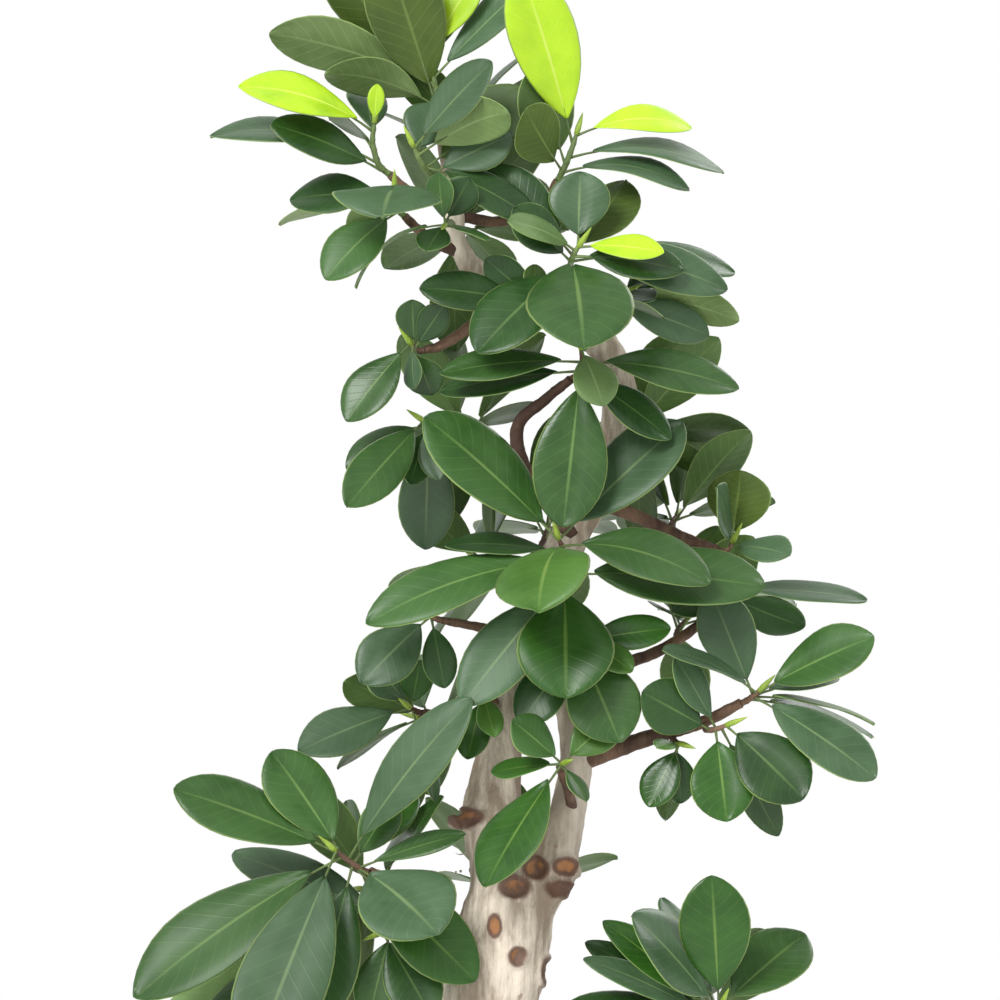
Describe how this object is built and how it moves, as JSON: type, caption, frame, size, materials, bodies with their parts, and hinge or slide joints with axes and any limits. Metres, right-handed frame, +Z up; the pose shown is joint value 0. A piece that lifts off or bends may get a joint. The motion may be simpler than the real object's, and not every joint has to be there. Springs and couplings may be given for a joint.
{
  "type": "potted bonsai tree",
  "caption": "S-curved ficus bonsai with leathery oval leaves on grafted branches, in a plain round stoneware bowl.",
  "frame": {"origin": "centre of the pot's flat underside", "axes": "+Z up along the pot's axis, +X to the viewer's right, +Y away from the viewer"},
  "size_m": [0.295, 0.2084, 0.666],
  "materials": {
    "stoneware": "satin",
    "soil": "rough, crumbly",
    "bark": "rough bark",
    "twig_bark": "rough bark",
    "leafy_shoot": "satin"
  },
  "bodies": {
    "root": {"branch_back_low": "twig_bark", "branch_back_mid": "twig_bark", "branch_crown_high_left": "twig_bark", "branch_crown_high_right": "twig_bark", "branch_crown_left": "twig_bark", "branch_crown_right": "twig_bark", "branch_front": "twig_bark", "branch_left": "twig_bark", "branch_left_twig": "twig_bark", "branch_low_left": "twig_bark", "branch_low_right": "twig_bark", "branch_mid_left": "twig_bark", "branch_mid_right": "twig_bark", "branch_mid_top": "twig_bark", "branch_right": "twig_bark", "branch_right_upper": "twig_bark", "branch_upper_left": "twig_bark", "pot": "stoneware", "shoot_back_low": "leafy_shoot", "shoot_back_mid": "leafy_shoot", "shoot_back_mid_left": "leafy_shoot", "shoot_center": "leafy_shoot", "shoot_center_low": "leafy_shoot", "shoot_crown_back": "leafy_shoot", "shoot_crown_back_high": "leafy_shoot", "shoot_crown_front": "leafy_shoot", "shoot_crown_high_left": "leafy_shoot", "shoot_crown_high_right": "leafy_shoot", "shoot_crown_inner": "leafy_shoot", "shoot_crown_left": "leafy_shoot", "shoot_crown_right": "leafy_shoot", "shoot_crown_tip": "leafy_shoot", "shoot_crown_under": "leafy_shoot", "shoot_front": "leafy_shoot", "shoot_left": "leafy_shoot", "shoot_left_back": "leafy_shoot", "shoot_left_twig": "leafy_shoot", "shoot_low_left": "leafy_shoot", "shoot_low_left_back": "leafy_shoot", "shoot_low_left_under": "leafy_shoot", "shoot_low_right": "leafy_shoot", "shoot_low_right_back": "leafy_shoot", "shoot_mid_cross": "leafy_shoot", "shoot_mid_left": "leafy_shoot", "shoot_mid_left_back": "leafy_shoot", "shoot_mid_right_back": "leafy_shoot", "shoot_mid_top": "leafy_shoot", "shoot_right_high": "leafy_shoot", "shoot_right_inner": "leafy_shoot", "shoot_right_mid": "leafy_shoot", "shoot_right_tip": "leafy_shoot", "shoot_right_upper": "leafy_shoot", "shoot_trunk_back": "leafy_shoot", "shoot_trunk_front": "leafy_shoot", "shoot_upper_left": "leafy_shoot", "shoot_upper_right_back": "leafy_shoot", "soil": "soil", "trunk": "bark"}
  },
  "joints": []
}
